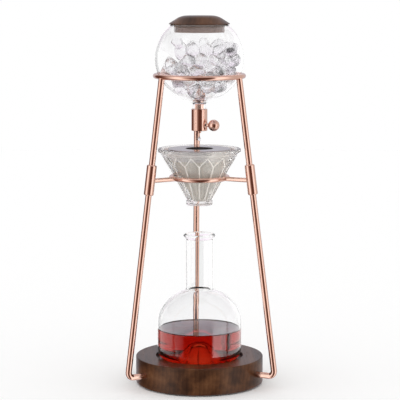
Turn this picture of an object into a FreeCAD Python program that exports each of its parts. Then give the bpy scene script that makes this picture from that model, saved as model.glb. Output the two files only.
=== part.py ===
import FreeCAD, Part
import math
import os

from FreeCAD import Vector

# Cold drip coffee tower: a walnut base, a tripod of bent rods with two rings, a water globe with a needle
# valve, a glass dripper with a steel filter, and a flask. Millimetres and degrees, +Z up. The origin is on
# the floor, on the tower's axis. The front is -Y, and one leg stands at the rear, on +Y.

# ---------------------------------------------------------------- base
BASE_RADIUS = 83.0
BASE_THICKNESS = 35.0
BASE_TOP_EDGE = 1.4                 # rounding of the upper edge
BASE_BOTTOM_EDGE = 2.4              # rounding of the lower edge
FLASK_SEAT_DEPTH = 4.5
FLASK_SEAT_CLEARANCE = 2.3          # round the flask, at its widest
PAD_THICKNESS = 3.0
PAD_PROUD = 1.0                     # how far the pad holds the base off the floor
PAD_MARGIN = 5.0                    # between the pad and the heads of the leg screws
PAD_CLEARANCE = 0.15

# ---------------------------------------------------------------- tripod
LEGS = {"rear": 90.0, "left": 210.0, "right": 330.0}     # azimuth of each leg
LEG_ROD_RADIUS = 4.0
LEG_STANDOFF = 25.4                 # corner of the foot, from the side of the base
FOOT_BEND_RADIUS = 7.0              # of the rod's axis
ROD_GRIP = 36.0                     # length of rod inside the base
ROD_HOLE_CLEARANCE = 0.1
SCREW_RADIUS = 2.0
SCREW_HEAD_RADIUS = 3.6
SCREW_HEAD_HEIGHT = 2.4
SCREW_HEAD_RECESS = 1.0             # head below the underside of the base
SCREW_KEY_RADIUS = 1.25
SCREW_KEY_DEPTH = 1.4
SCREW_BITE = 2.5                    # how far the screw passes the rod's axis
SCREW_CLEARANCE = 0.1
TOP_RING_ROD_RADIUS = 3.25
UPPER_LEG_SHORT = 1.6               # end of the leg below the top ring's axis
MIDDLE_RING_RADIUS = 36.2           # axis of the ring's rod
MIDDLE_RING_ROD_RADIUS = 3.1
ARM_ROD_RADIUS = 2.9
SLEEVE_RADIUS = 6.35
SLEEVE_LENGTH = 39.0
SLEEVE_RAISE = 1.0                  # middle of the sleeve over the middle ring
SLEEVE_EDGE = 1.9                   # rounding of its ends
BRAZE_GAP = 0.05                    # between rods, rings and sleeves that are brazed together

# ---------------------------------------------------------------- globe
SEAT_GAP = 0.3                      # between glass and the ring that it rests on
GLOBE_RADIUS = 57.0
GLOBE_WALL = 2.0
GLOBE_SEAT_ANGLE = 21.3             # the globe rests on the top ring this far below its middle
MOUTH_RADIUS = 36.4                 # outside of the glass at the mouth
OUTLET_RADIUS = 8.35
OUTLET_WALL = 2.0
OUTLET_SHOW = 7.4                   # outlet tube seen between globe and valve
OUTLET_FILLET = 3.0

# ---------------------------------------------------------------- lid
LID_OVERHANG = 2.6                  # past the outside of the mouth
LID_RISE = 10.0                     # flat middle over the edge
LID_TOP_RADIUS = 16.2               # flat middle
LID_SHOULDER = 24.0                 # rounding from the flat middle to the slope
LID_EDGE = 0.9
PLUG_CLEARANCE = 1.0                # round the plug in the mouth
PLUG_DEPTH = 10.7
PLUG_EDGE = 0.8
SEAL_RADIUS = 1.3                   # of the seal's round section
SEAL_DROP = 0.2                     # top of the seal below the lid's underside
SEAL_GAP = 0.15                     # between seal and glass

# ---------------------------------------------------------------- drip valve
VALVE_WALL = 1.85                   # of the socket round the outlet tube
VALVE_LENGTH = 28.1
VALVE_EDGE = 0.5
SOCKET_DEPTH = 8.0
SOCKET_CLEARANCE = 0.15
SPIGOT_CLEARANCE = 0.25
SPIGOT_SHORT = 0.6                  # top of the spigot below the globe's lowest outer point
GASKET_THICKNESS = 1.5
INLET_RADIUS = 2.4
O_RING_SECTION = 0.9                # radius of the spigot ring's section
O_RING_GAP = 0.03                   # between an O-ring and the walls of its groove
KNOB_RISE = 7.5                     # needle axis over the bottom of the valve body
KNOB_AZIMUTH = -30.0
PASSAGE_RADIUS = 1.3                # upright drilling inside the body
CROSSING_RADIUS = 1.1               # level drilling from the inlet to it
ORIFICE_RADIUS = 0.8
ORIFICE_START = -1.3                # along the needle axis, from the tower's axis
ORIFICE_LENGTH = 1.2
CHAMBER_RADIUS = 2.56
NEEDLE_CLEARANCE = 0.06
NEEDLE_NECK_RADIUS = 1.1
NEEDLE_TAPER = 15.0                 # half angle of the needle's point
NEEDLE_TIP_RADIUS = 0.2
NEEDLE_SEAT_GAP = 0.05              # left round the needle when it is closed
NEEDLE_OPEN = 0.375                 # needle off its seat at rest, half a turn of its thread
PISTON_START = 1.6
PISTON_LENGTH = 4.0
NEEDLE_RING_SECTION = 0.65
STEM_RADIUS = 1.6
GLAND_RADIUS = 4.5
GLAND_LENGTH = 2.2
GLAND_SINK = 0.2                    # gland nut's rim below the surface of the body
NOZZLE_RADIUS = 2.4
NOZZLE_SHOW = 3.0
NOZZLE_STEP = 0.5                   # nozzle to its shank
NOZZLE_COVER = 0.94                 # metal between the shank and the chamber
NOZZLE_BORE_RADIUS = 1.0
DRIP_GAP = 20.0                     # nozzle to the top of the dripper
KNOB_RADIUS = 7.4
KNOB_GAP = 2.95                     # ball to valve body
KNOB_HUB_RADIUS = 2.1
KNOB_HUB_GAP = 0.9                  # hub to valve body at rest
STEM_IN_KNOB = 7.0

# ---------------------------------------------------------------- dripper, filter and spreader
CONE_HALF_ANGLE = 29.5
DRIPPER_WALL = 5.0
DRIPPER_HEIGHT = 73.0
DRIPPER_RIM_BAND = 4.0
DRIPPER_EDGE = 1.0                  # rounding of rim and foot
DRIPPER_FOOT_RADIUS = 17.0
DRIPPER_FOOT_HEIGHT = 6.0
DRIPPER_FOOT_WALL = 3.5
DRIPPER_FOOT_RECESS = 1.9           # the dripper's floor over its foot
DRIPPER_FLOOR = 1.5
DRIPPER_HOLE_RADIUS = 8.4
FILTER_GAP = 0.3
FILTER_WALL = 0.8
FILTER_RIM_DROP = 1.0               # filter below the dripper's rim
FILTER_RIM_HEIGHT = 12.5
FILTER_FLOOR_RISE = 1.2             # filter's floor over the dripper's
SPREADER_HEIGHT = 10.0
SPREADER_SHEET = 0.8
SPREADER_HOLE_RADIUS = 17.8
SPREADER_BEND = 1.6

# ---------------------------------------------------------------- flask
FLASK_RADIUS = 54.7
FLASK_HEIGHT = 164.8
FLASK_WALL = 2.2
FLASK_SIDE_HEIGHT = 46.9            # straight side ends at this height over the flask's foot
SHOULDER_LOW_RADIUS = 41.9          # arc that follows the side
SHOULDER_HIGH_RADIUS = 53.1         # arc that leads to the neck
SHOULDER_TURN = 35.6                # where the one arc passes into the other
FLASK_NECK_RADIUS = 17.4
FLASK_NECK_FILLET = 1.4
FLASK_LIP_FLARE = 3.4               # lip past the neck
FLASK_LIP_HEIGHT = 7.6              # of the flare, up to the crown of the lip
FLASK_CORNER = 12.0                 # rounding between side and foot
FLASK_FOOT_WIDTH = 21.7             # ring that the flask stands on
FLASK_PUNT_RISE = 22.4              # raised centre of the foot
FLASK_PUNT_CROWN = 12.0             # radius of its round top
FLASK_HEADROOM = 38.2               # lip to the foot of the dripper


# ================================================================ helpers
def line(a, b):
    """Straight edge between two (radius, height) points of a turned profile."""
    return Part.LineSegment(Vector(a[0], 0, a[1]), Vector(b[0], 0, b[1])).toShape()


def arc(a, middle, b):
    """Round edge from a to b through middle, all (radius, height)."""
    points = [Vector(p[0], 0, p[1]) for p in (a, middle, b)]
    return Part.Arc(*points).toShape()


def touching(centre, radius, point):
    """Direction, in degrees, from a circle's centre to where a straight line up from a point touches it."""
    across, up = point[0] - centre[0], point[1] - centre[1]
    return math.degrees(math.atan2(up, across) + math.acos(radius / math.hypot(across, up)))


def around(centre, radius, angle):
    """Point on a circle, in a direction in degrees."""
    turn = math.radians(angle)
    return (centre[0] + radius * math.cos(turn), centre[1] + radius * math.sin(turn))


def bend(centre, radius, start, end):
    """Round edge about centre from angle start to angle end, in degrees from the outward direction."""
    return arc(*(around(centre, radius, angle) for angle in (start, (start + end) / 2, end)))


def turned(edges):
    """Solid of revolution about the tower's axis from the edges of a closed profile."""
    outline = Part.Wire(Part.__sortEdges__(edges))
    solid = Part.Face(outline).revolve(Vector(0, 0, 0), Vector(0, 0, 1), 360)
    return solid if solid.Volume > 0 else solid.reversed()


def turned_polygon(points):
    """Solid of revolution from straight edges between (radius, height) points."""
    pairs = zip(points, points[1:] + points[:1])
    return turned([line(a, b) for a, b in pairs])


def cylinder(radius, low, high, x=0.0, y=0.0):
    """Upright cylinder between two heights."""
    return Part.makeCylinder(radius, high - low, Vector(x, y, low))


def rod(radius, start, end):
    """Round rod between two points."""
    return Part.makeCylinder(radius, (end - start).Length, start, end - start)


def ring(radius, section, height):
    """Ring of round section about the tower's axis."""
    return Part.makeTorus(radius, section, Vector(0, 0, height))


def swung(shape, azimuth):
    """Copy of a shape made in the +X half plane, turned to an azimuth."""
    copy = shape.copy()
    copy.rotate(Vector(0, 0, 0), Vector(0, 0, 1), azimuth)
    return copy


def on_needle_axis(profile):
    """Solid turned about the needle's axis from (distance along the axis, radius) points."""
    points = [Vector(along, 0, NEEDLE_HEIGHT + radius) for along, radius in profile]
    outline = Part.makePolygon(points + [points[0]])
    solid = Part.Face(outline).revolve(Vector(0, 0, NEEDLE_HEIGHT), Vector(1, 0, 0), 360)
    return solid if solid.Volume > 0 else solid.reversed()


def save(name, shape):
    """One STEP file for one node."""
    if not shape.isValid():
        raise ValueError("bad shape: " + name)
    shape.exportStep("parts/" + name + ".step")
    print("%-18s %9.1f mm3  %d solid(s)" % (name, shape.Volume, len(shape.Solids)))


# ================================================================ derived places, from the floor up
BASE_BOTTOM = PAD_PROUD
BASE_TOP = BASE_BOTTOM + BASE_THICKNESS
ROD_END_RADIUS = BASE_RADIUS - ROD_GRIP
SCREW_CIRCLE_RADIUS = BASE_RADIUS - ROD_GRIP / 2
PAD_RADIUS = SCREW_CIRCLE_RADIUS - SCREW_HEAD_RADIUS - PAD_MARGIN
FOOT_HEIGHT = BASE_BOTTOM + BASE_THICKNESS / 2
FLASK_FOOT = BASE_TOP - FLASK_SEAT_DEPTH
FLASK_TOP = FLASK_FOOT + FLASK_HEIGHT

SLOPE = math.tan(math.radians(CONE_HALF_ANGLE))
LEVEL = 1 / math.cos(math.radians(CONE_HALF_ANGLE))     # level thickness of a wall of thickness 1
DRIPPER_BOTTOM = FLASK_TOP + FLASK_HEADROOM
DRIPPER_RIM = DRIPPER_BOTTOM + DRIPPER_HEIGHT
FLOOR_LOW = DRIPPER_BOTTOM + DRIPPER_FOOT_RECESS
FLOOR_TOP = FLOOR_LOW + DRIPPER_FLOOR


def cone_radius(height, depth=0.0):
    """Radius of the dripper's cone, or of the cone that lies a depth inside its outer face."""
    return DRIPPER_HOLE_RADIUS + (DRIPPER_WALL - depth) * LEVEL + SLOPE * (height - FLOOR_TOP)


def cone_height(radius, depth=0.0):
    """Height at which that cone has a radius."""
    return FLOOR_TOP + (radius - cone_radius(FLOOR_TOP, depth)) / SLOPE


FILTER_DEPTH = DRIPPER_WALL + FILTER_GAP
FILTER_TOP = DRIPPER_RIM - FILTER_RIM_DROP
FILTER_SPLIT = FILTER_TOP - FILTER_RIM_HEIGHT
FILTER_BOTTOM = FLOOR_TOP + FILTER_FLOOR_RISE
MIDDLE_RING_HEIGHT = cone_height(MIDDLE_RING_RADIUS - (MIDDLE_RING_ROD_RADIUS + SEAT_GAP) * LEVEL)
SLEEVE_HEIGHT = MIDDLE_RING_HEIGHT + SLEEVE_RAISE

VALVE_RADIUS = OUTLET_RADIUS + SOCKET_CLEARANCE + VALVE_WALL
NOZZLE_TIP = DRIPPER_RIM + DRIP_GAP
VALVE_BOTTOM = NOZZLE_TIP + NOZZLE_SHOW
VALVE_TOP = VALVE_BOTTOM + VALVE_LENGTH
NEEDLE_HEIGHT = VALVE_BOTTOM + KNOB_RISE
SOCKET_FLOOR = VALVE_TOP - SOCKET_DEPTH
SPIGOT_TOP = VALVE_TOP + OUTLET_SHOW - SPIGOT_SHORT
SPIGOT_RADIUS = OUTLET_RADIUS - OUTLET_WALL - SPIGOT_CLEARANCE
GLAND_FACE = math.sqrt(VALVE_RADIUS ** 2 - GLAND_RADIUS ** 2) - GLAND_SINK
CHAMBER_END = GLAND_FACE - GLAND_LENGTH
KNOB_REACH = VALVE_RADIUS + KNOB_GAP + KNOB_RADIUS
STEM_END = VALVE_RADIUS + KNOB_GAP + STEM_IN_KNOB

GLOBE_HEIGHT = VALVE_TOP + OUTLET_SHOW + GLOBE_RADIUS
GLOBE_REST = GLOBE_RADIUS + SEAT_GAP + TOP_RING_ROD_RADIUS
TOP_RING_RADIUS = GLOBE_REST * math.cos(math.radians(GLOBE_SEAT_ANGLE))
TOP_RING_HEIGHT = GLOBE_HEIGHT - GLOBE_REST * math.sin(math.radians(GLOBE_SEAT_ANGLE))
MOUTH_RISE = math.sqrt(GLOBE_RADIUS ** 2 - MOUTH_RADIUS ** 2)
MOUTH_BORE_RADIUS = math.sqrt((GLOBE_RADIUS - GLOBE_WALL) ** 2 - MOUTH_RISE ** 2)
MOUTH_HEIGHT = GLOBE_HEIGHT + MOUTH_RISE
LID_RADIUS = MOUTH_RADIUS + LID_OVERHANG
PLUG_RADIUS = MOUTH_BORE_RADIUS - PLUG_CLEARANCE
SEAL_RING_RADIUS = MOUTH_BORE_RADIUS - SEAL_GAP - SEAL_RADIUS
SEAL_HEIGHT = MOUTH_HEIGHT - SEAL_DROP - SEAL_RADIUS

LEG_SLOPE = (BASE_RADIUS + LEG_STANDOFF - TOP_RING_RADIUS) / (TOP_RING_HEIGHT - FOOT_HEIGHT)
LEG_LEAN = math.atan(LEG_SLOPE)


def leg_radius(height):
    """Distance of a leg's axis from the tower's axis."""
    return TOP_RING_RADIUS + LEG_SLOPE * (TOP_RING_HEIGHT - height)


def leg_point(height, along=0.0):
    """Point on a leg's axis, in the +X half plane, moved up the leg by a length."""
    return Vector(leg_radius(height) - along * math.sin(LEG_LEAN), 0, height + along * math.cos(LEG_LEAN))


# ================================================================ stand
def make_base_disc():
    r, top, low = BASE_RADIUS, BASE_TOP, BASE_BOTTOM
    seat = FLASK_RADIUS + FLASK_SEAT_CLEARANCE
    disc = turned([
        line((0, low), (r - BASE_BOTTOM_EDGE, low)),
        bend((r - BASE_BOTTOM_EDGE, low + BASE_BOTTOM_EDGE), BASE_BOTTOM_EDGE, -90, 0),
        line((r, low + BASE_BOTTOM_EDGE), (r, top - BASE_TOP_EDGE)),
        bend((r - BASE_TOP_EDGE, top - BASE_TOP_EDGE), BASE_TOP_EDGE, 0, 90),
        line((r - BASE_TOP_EDGE, top), (seat, top)),
        line((seat, top), (seat, FLASK_FOOT)),
        line((seat, FLASK_FOOT), (0, FLASK_FOOT)),
        line((0, FLASK_FOOT), (0, low))])
    hole = rod(LEG_ROD_RADIUS + ROD_HOLE_CLEARANCE, Vector(ROD_END_RADIUS, 0, FOOT_HEIGHT),
               Vector(r + LEG_ROD_RADIUS, 0, FOOT_HEIGHT))
    head_seat = BASE_BOTTOM + SCREW_HEAD_RECESS + SCREW_HEAD_HEIGHT
    screw_hole = cylinder(SCREW_RADIUS + SCREW_CLEARANCE, low, FOOT_HEIGHT, SCREW_CIRCLE_RADIUS)
    counterbore = cylinder(SCREW_HEAD_RADIUS + SCREW_CLEARANCE, low, head_seat, SCREW_CIRCLE_RADIUS)
    for azimuth in LEGS.values():
        for cut in (hole, screw_hole, counterbore):
            disc = disc.cut(swung(cut, azimuth))
    return disc.cut(cylinder(PAD_RADIUS + PAD_CLEARANCE, low, PAD_THICKNESS))


def make_base_pad():
    return cylinder(PAD_RADIUS, 0, PAD_THICKNESS)


def make_screw():
    """Socket screw that comes up from below into a leg's level rod."""
    seat = BASE_BOTTOM + SCREW_HEAD_RECESS
    x = SCREW_CIRCLE_RADIUS
    head = cylinder(SCREW_HEAD_RADIUS, seat, seat + SCREW_HEAD_HEIGHT, x)
    shank = cylinder(SCREW_RADIUS, seat, FOOT_HEIGHT + SCREW_BITE, x)
    key = cylinder(SCREW_KEY_RADIUS, seat, seat + SCREW_KEY_DEPTH, x)
    return head.fuse(shank).removeSplitter().cut(key)


def make_lower_leg():
    """Rod from the sleeve down to the foot, bent there and led level into the base."""
    corner = leg_point(FOOT_HEIGHT)
    turn = math.pi / 2 + LEG_LEAN
    reach = FOOT_BEND_RADIUS * math.tan(turn / 2)
    down = (corner - leg_point(TOP_RING_HEIGHT)).normalize()
    inward = Vector(-1, 0, 0)
    bend_start = corner - down * reach
    bend_end = corner + inward * reach
    to_centre = (inward - down).normalize()
    centre = corner + to_centre * (FOOT_BEND_RADIUS / math.cos(turn / 2))
    middle = centre - to_centre * FOOT_BEND_RADIUS
    top = leg_point(SLEEVE_HEIGHT, -BRAZE_GAP)
    path = Part.Wire([
        Part.LineSegment(top, bend_start).toShape(),
        Part.Arc(bend_start, middle, bend_end).toShape(),
        Part.LineSegment(bend_end, Vector(ROD_END_RADIUS, 0, FOOT_HEIGHT)).toShape()])
    section = Part.Wire(Part.makeCircle(LEG_ROD_RADIUS, top, down))
    leg = path.makePipeShell([section], True, False)
    tapped = cylinder(SCREW_RADIUS + BRAZE_GAP, BASE_BOTTOM, FOOT_HEIGHT + SCREW_BITE + BRAZE_GAP,
                      SCREW_CIRCLE_RADIUS)
    return leg.cut(tapped)


def make_upper_leg():
    leg = rod(LEG_ROD_RADIUS, leg_point(SLEEVE_HEIGHT, BRAZE_GAP),
              leg_point(TOP_RING_HEIGHT, -UPPER_LEG_SHORT))
    return leg.cut(ring(TOP_RING_RADIUS, TOP_RING_ROD_RADIUS + BRAZE_GAP, TOP_RING_HEIGHT))


def make_sleeve():
    low = leg_point(SLEEVE_HEIGHT, -SLEEVE_LENGTH / 2)
    high = leg_point(SLEEVE_HEIGHT, SLEEVE_LENGTH / 2)
    tube = rod(SLEEVE_RADIUS, low, high)
    ends = [edge for edge in tube.Edges if edge.Closed]
    tube = tube.makeFillet(SLEEVE_EDGE, ends)
    return tube.cut(rod(LEG_ROD_RADIUS + BRAZE_GAP, low, high))


def make_ring_arm():
    """Level rod from the middle ring out to the sleeve, with its ends fitted to both."""
    arm = rod(ARM_ROD_RADIUS, Vector(MIDDLE_RING_RADIUS, 0, MIDDLE_RING_HEIGHT),
              Vector(leg_radius(MIDDLE_RING_HEIGHT), 0, MIDDLE_RING_HEIGHT))
    sleeve = rod(SLEEVE_RADIUS + BRAZE_GAP, leg_point(SLEEVE_HEIGHT, -SLEEVE_LENGTH / 2),
                 leg_point(SLEEVE_HEIGHT, SLEEVE_LENGTH / 2))
    inner = ring(MIDDLE_RING_RADIUS, MIDDLE_RING_ROD_RADIUS + BRAZE_GAP, MIDDLE_RING_HEIGHT)
    return arm.cut(sleeve).cut(inner)


# ================================================================ globe and lid
def make_globe():
    """Blown sphere with a ground mouth, and an outlet tube that ends on the valve's gasket."""
    inner = GLOBE_RADIUS - GLOBE_WALL
    outlet_end = SOCKET_FLOOR + GASKET_THICKNESS
    bore = OUTLET_RADIUS - OUTLET_WALL
    centre = Vector(0, 0, GLOBE_HEIGHT)
    tube = cylinder(OUTLET_RADIUS, outlet_end, GLOBE_HEIGHT - GLOBE_RADIUS / 2)
    shell = Part.makeSphere(GLOBE_RADIUS, centre).fuse(tube).removeSplitter()
    joint = [edge for edge in shell.Edges if edge.Closed and len(edge.Vertexes) == 1
             and abs(edge.BoundBox.XMax - OUTLET_RADIUS) < 0.01
             and edge.BoundBox.ZMax > outlet_end + 1 and edge.BoundBox.ZLength < 0.01]
    shell = shell.makeFillet(OUTLET_FILLET, joint)
    shell = shell.cut(Part.makeSphere(inner, centre))
    shell = shell.cut(cylinder(bore, outlet_end, GLOBE_HEIGHT))
    above = cylinder(GLOBE_RADIUS, MOUTH_HEIGHT, GLOBE_HEIGHT + 2 * GLOBE_RADIUS)
    return shell.cut(above)


def make_lid():
    """Turned lid: a flat middle, a sloping brim, and a plug with a groove for the seal."""
    bottom, edge = MOUTH_HEIGHT, MOUTH_HEIGHT + LID_EDGE
    top = edge + LID_RISE
    plug_bottom = bottom - PLUG_DEPTH
    middle = (LID_TOP_RADIUS, top - LID_SHOULDER)
    brim = touching(middle, LID_SHOULDER, (LID_RADIUS, edge))
    lid = turned([
        line((0, top), (LID_TOP_RADIUS, top)),
        bend(middle, LID_SHOULDER, 90, brim),
        line(around(middle, LID_SHOULDER, brim), (LID_RADIUS, edge)),
        line((LID_RADIUS, edge), (LID_RADIUS, bottom)),
        line((LID_RADIUS, bottom), (PLUG_RADIUS, bottom)),
        line((PLUG_RADIUS, bottom), (PLUG_RADIUS, plug_bottom + PLUG_EDGE)),
        bend((PLUG_RADIUS - PLUG_EDGE, plug_bottom + PLUG_EDGE), PLUG_EDGE, 0, -90),
        line((PLUG_RADIUS - PLUG_EDGE, plug_bottom), (0, plug_bottom)),
        line((0, plug_bottom), (0, top))])
    return lid.cut(ring(SEAL_RING_RADIUS, SEAL_RADIUS + BRAZE_GAP, SEAL_HEIGHT))


def make_lid_seal():
    return ring(SEAL_RING_RADIUS, SEAL_RADIUS, SEAL_HEIGHT)


# ================================================================ drip valve, knob towards +X
def make_valve_body():
    """Turned body: a socket round the glass tube, a spigot in it, and the drillings for the water."""
    outside = turned_polygon([
        (0, VALVE_BOTTOM), (VALVE_RADIUS - VALVE_EDGE, VALVE_BOTTOM),
        (VALVE_RADIUS, VALVE_BOTTOM + VALVE_EDGE), (VALVE_RADIUS, VALVE_TOP - VALVE_EDGE),
        (VALVE_RADIUS - VALVE_EDGE, VALVE_TOP), (OUTLET_RADIUS + SOCKET_CLEARANCE, VALVE_TOP),
        (OUTLET_RADIUS + SOCKET_CLEARANCE, SOCKET_FLOOR),
        (SPIGOT_RADIUS, SOCKET_FLOOR), (SPIGOT_RADIUS, SPIGOT_TOP), (0, SPIGOT_TOP)])
    inlet_floor = NEEDLE_HEIGHT + CHAMBER_RADIUS + 2 * PASSAGE_RADIUS
    side = ORIFICE_START - ORIFICE_LENGTH - PASSAGE_RADIUS
    inlet = cylinder(INLET_RADIUS, inlet_floor, SPIGOT_TOP)
    passage = cylinder(PASSAGE_RADIUS, NEEDLE_HEIGHT - PASSAGE_RADIUS, inlet_floor + 2 * PASSAGE_RADIUS, side)
    crossing = rod(CROSSING_RADIUS, Vector(side, 0, inlet_floor + PASSAGE_RADIUS),
                   Vector(0, 0, inlet_floor + PASSAGE_RADIUS))
    seat = rod(ORIFICE_RADIUS, Vector(side, 0, NEEDLE_HEIGHT), Vector(0, 0, NEEDLE_HEIGHT))
    chamber = rod(CHAMBER_RADIUS, Vector(ORIFICE_START, 0, NEEDLE_HEIGHT),
                  Vector(CHAMBER_END + BRAZE_GAP, 0, NEEDLE_HEIGHT))
    gland = rod(GLAND_RADIUS + BRAZE_GAP, Vector(CHAMBER_END, 0, NEEDLE_HEIGHT),
                Vector(2 * VALVE_RADIUS, 0, NEEDLE_HEIGHT))
    outlet = cylinder(NOZZLE_BORE_RADIUS, VALVE_BOTTOM, NEEDLE_HEIGHT)
    nozzle = cylinder(NOZZLE_RADIUS - NOZZLE_STEP + BRAZE_GAP, VALVE_BOTTOM, nozzle_top() + BRAZE_GAP)
    groove = ring(spigot_ring_radius(), O_RING_SECTION + O_RING_GAP, spigot_ring_height())
    body = outside
    for cut in (inlet, passage, crossing, seat, chamber, gland, outlet, nozzle, groove):
        body = body.cut(cut)
    return swung(body, KNOB_AZIMUTH)


def spigot_ring_radius():
    return OUTLET_RADIUS - OUTLET_WALL - O_RING_SECTION - O_RING_GAP


def spigot_ring_height():
    return SOCKET_FLOOR + (SPIGOT_TOP - SOCKET_FLOOR) / 2


def make_spigot_o_ring():
    return ring(spigot_ring_radius(), O_RING_SECTION, spigot_ring_height())


def make_outlet_gasket():
    top = SOCKET_FLOOR + GASKET_THICKNESS
    hole = cylinder(SPIGOT_RADIUS + SOCKET_CLEARANCE, SOCKET_FLOOR, top)
    return cylinder(OUTLET_RADIUS, SOCKET_FLOOR, top).cut(hole)


def nozzle_top():
    """Top of the nozzle's shank, below the needle's chamber."""
    return NEEDLE_HEIGHT - CHAMBER_RADIUS - NOZZLE_COVER


def make_drip_nozzle():
    shank = NOZZLE_RADIUS - NOZZLE_STEP
    return turned_polygon([
        (NOZZLE_BORE_RADIUS, NOZZLE_TIP), (NOZZLE_RADIUS - VALVE_EDGE, NOZZLE_TIP),
        (NOZZLE_RADIUS, NOZZLE_TIP + VALVE_EDGE), (NOZZLE_RADIUS, VALVE_BOTTOM), (shank, VALVE_BOTTOM),
        (shank, nozzle_top()), (NOZZLE_BORE_RADIUS, nozzle_top())])


def make_gland_nut():
    """Round nut, set into the side of the body, that the needle's stem runs through."""
    bore = STEM_RADIUS + NEEDLE_CLEARANCE
    start = CHAMBER_END + BRAZE_GAP
    nut = on_needle_axis([
        (start, bore), (start, GLAND_RADIUS), (GLAND_FACE, GLAND_RADIUS), (GLAND_FACE, bore)])
    return swung(nut, KNOB_AZIMUTH)


def needle_tip():
    """Tip of the point at rest: it closes on the orifice's edge after NEEDLE_OPEN of travel."""
    closed = (ORIFICE_RADIUS - NEEDLE_SEAT_GAP - NEEDLE_TIP_RADIUS) / math.tan(math.radians(NEEDLE_TAPER))
    return ORIFICE_START + NEEDLE_OPEN - closed


def make_valve_needle():
    """Needle: a slim point, a piston with a ring groove, and the stem that carries the knob."""
    tip = needle_tip()
    neck = tip + (NEEDLE_NECK_RADIUS - NEEDLE_TIP_RADIUS) / math.tan(math.radians(NEEDLE_TAPER))
    piston = CHAMBER_RADIUS - NEEDLE_CLEARANCE
    end = PISTON_START + PISTON_LENGTH
    needle = on_needle_axis([
        (tip, 0), (tip, NEEDLE_TIP_RADIUS), (neck, NEEDLE_NECK_RADIUS), (PISTON_START, NEEDLE_NECK_RADIUS),
        (PISTON_START, piston), (end, piston), (end, STEM_RADIUS), (STEM_END, STEM_RADIUS), (STEM_END, 0)])
    return swung(needle.cut(needle_ring(NEEDLE_RING_SECTION + O_RING_GAP)), KNOB_AZIMUTH)


def needle_ring(section):
    """O-ring about the needle's axis, in the middle of its piston."""
    radius = CHAMBER_RADIUS - O_RING_GAP - NEEDLE_RING_SECTION
    middle = Vector(PISTON_START + PISTON_LENGTH / 2, 0, NEEDLE_HEIGHT)
    return Part.makeTorus(radius, section, middle, Vector(1, 0, 0))


def make_needle_o_ring():
    return swung(needle_ring(NEEDLE_RING_SECTION), KNOB_AZIMUTH)


def make_valve_knob():
    """Ball knob with a short hub, bored for the stem."""
    hub_start = VALVE_RADIUS + KNOB_HUB_GAP
    ball = Part.makeSphere(KNOB_RADIUS, Vector(KNOB_REACH, 0, NEEDLE_HEIGHT))
    hub = rod(KNOB_HUB_RADIUS, Vector(hub_start, 0, NEEDLE_HEIGHT), Vector(KNOB_REACH, 0, NEEDLE_HEIGHT))
    bore = rod(STEM_RADIUS + NEEDLE_CLEARANCE, Vector(hub_start, 0, NEEDLE_HEIGHT),
               Vector(STEM_END + NEEDLE_CLEARANCE, 0, NEEDLE_HEIGHT))
    return swung(ball.fuse(hub).removeSplitter().cut(bore), KNOB_AZIMUTH)


# ================================================================ dripper, filter and spreader
def make_dripper_glass():
    """Thick pressed cone with an upright rim band, a foot ring and one large hole."""
    rim, bottom = DRIPPER_RIM, DRIPPER_BOTTOM
    outer, edge = cone_radius(rim), DRIPPER_EDGE
    foot_top = bottom + DRIPPER_FOOT_HEIGHT
    cavity = DRIPPER_FOOT_RADIUS - DRIPPER_FOOT_WALL
    inner_rim = cone_radius(rim, DRIPPER_WALL)
    band = rim - DRIPPER_RIM_BAND
    return turned([
        line((inner_rim, rim), (outer - edge, rim)),
        bend((outer - edge, rim - edge), edge, 90, 0),
        line((outer, rim - edge), (outer, band)),
        line((outer, band), (cone_radius(band), band)),
        line((cone_radius(band), band), (cone_radius(foot_top), foot_top)),
        line((cone_radius(foot_top), foot_top), (DRIPPER_FOOT_RADIUS - edge, foot_top)),
        bend((DRIPPER_FOOT_RADIUS - edge, foot_top - edge), edge, 90, 0),
        line((DRIPPER_FOOT_RADIUS, foot_top - edge), (DRIPPER_FOOT_RADIUS, bottom)),
        line((DRIPPER_FOOT_RADIUS, bottom), (cavity, bottom)),
        line((cavity, bottom), (cavity, FLOOR_LOW)),
        line((cavity, FLOOR_LOW), (DRIPPER_HOLE_RADIUS, FLOOR_LOW)),
        line((DRIPPER_HOLE_RADIUS, FLOOR_LOW), (DRIPPER_HOLE_RADIUS, FLOOR_TOP)),
        line((DRIPPER_HOLE_RADIUS, FLOOR_TOP), (inner_rim, rim))])


def filter_outer(height):
    return cone_radius(height, FILTER_DEPTH)


def filter_inner(height):
    return cone_radius(height, FILTER_DEPTH + FILTER_WALL)


def make_filter_mesh():
    low, high = FILTER_BOTTOM, FILTER_SPLIT
    floor = low + FILTER_WALL
    return turned_polygon([
        (0, low), (filter_outer(low), low), (filter_outer(high), high), (filter_inner(high), high),
        (filter_inner(floor), floor), (0, floor)])


def make_filter_rim():
    low, high = FILTER_SPLIT, FILTER_TOP
    return turned_polygon([
        (filter_inner(low), low), (filter_outer(low), low), (filter_outer(high), high),
        (filter_inner(high), high)])


def make_spreader_dish():
    """Shallow dish, open side down, whose skirt stands on the filter's rim."""
    top = DRIPPER_RIM
    foot = top - SPREADER_HEIGHT
    r = cone_radius(foot, FILTER_DEPTH + FILTER_WALL + SEAT_GAP)
    sheet, turn = SPREADER_SHEET, SPREADER_BEND
    return turned([
        line((SPREADER_HOLE_RADIUS, top), (r - turn, top)),
        bend((r - turn, top - turn), turn, 90, 0),
        line((r, top - turn), (r, foot)),
        line((r, foot), (r - sheet, foot)),
        line((r - sheet, foot), (r - sheet, top - turn)),
        bend((r - turn, top - turn), turn - sheet, 0, 90),
        line((r - turn, top - sheet), (SPREADER_HOLE_RADIUS, top - sheet)),
        line((SPREADER_HOLE_RADIUS, top - sheet), (SPREADER_HOLE_RADIUS, top))])


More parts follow.
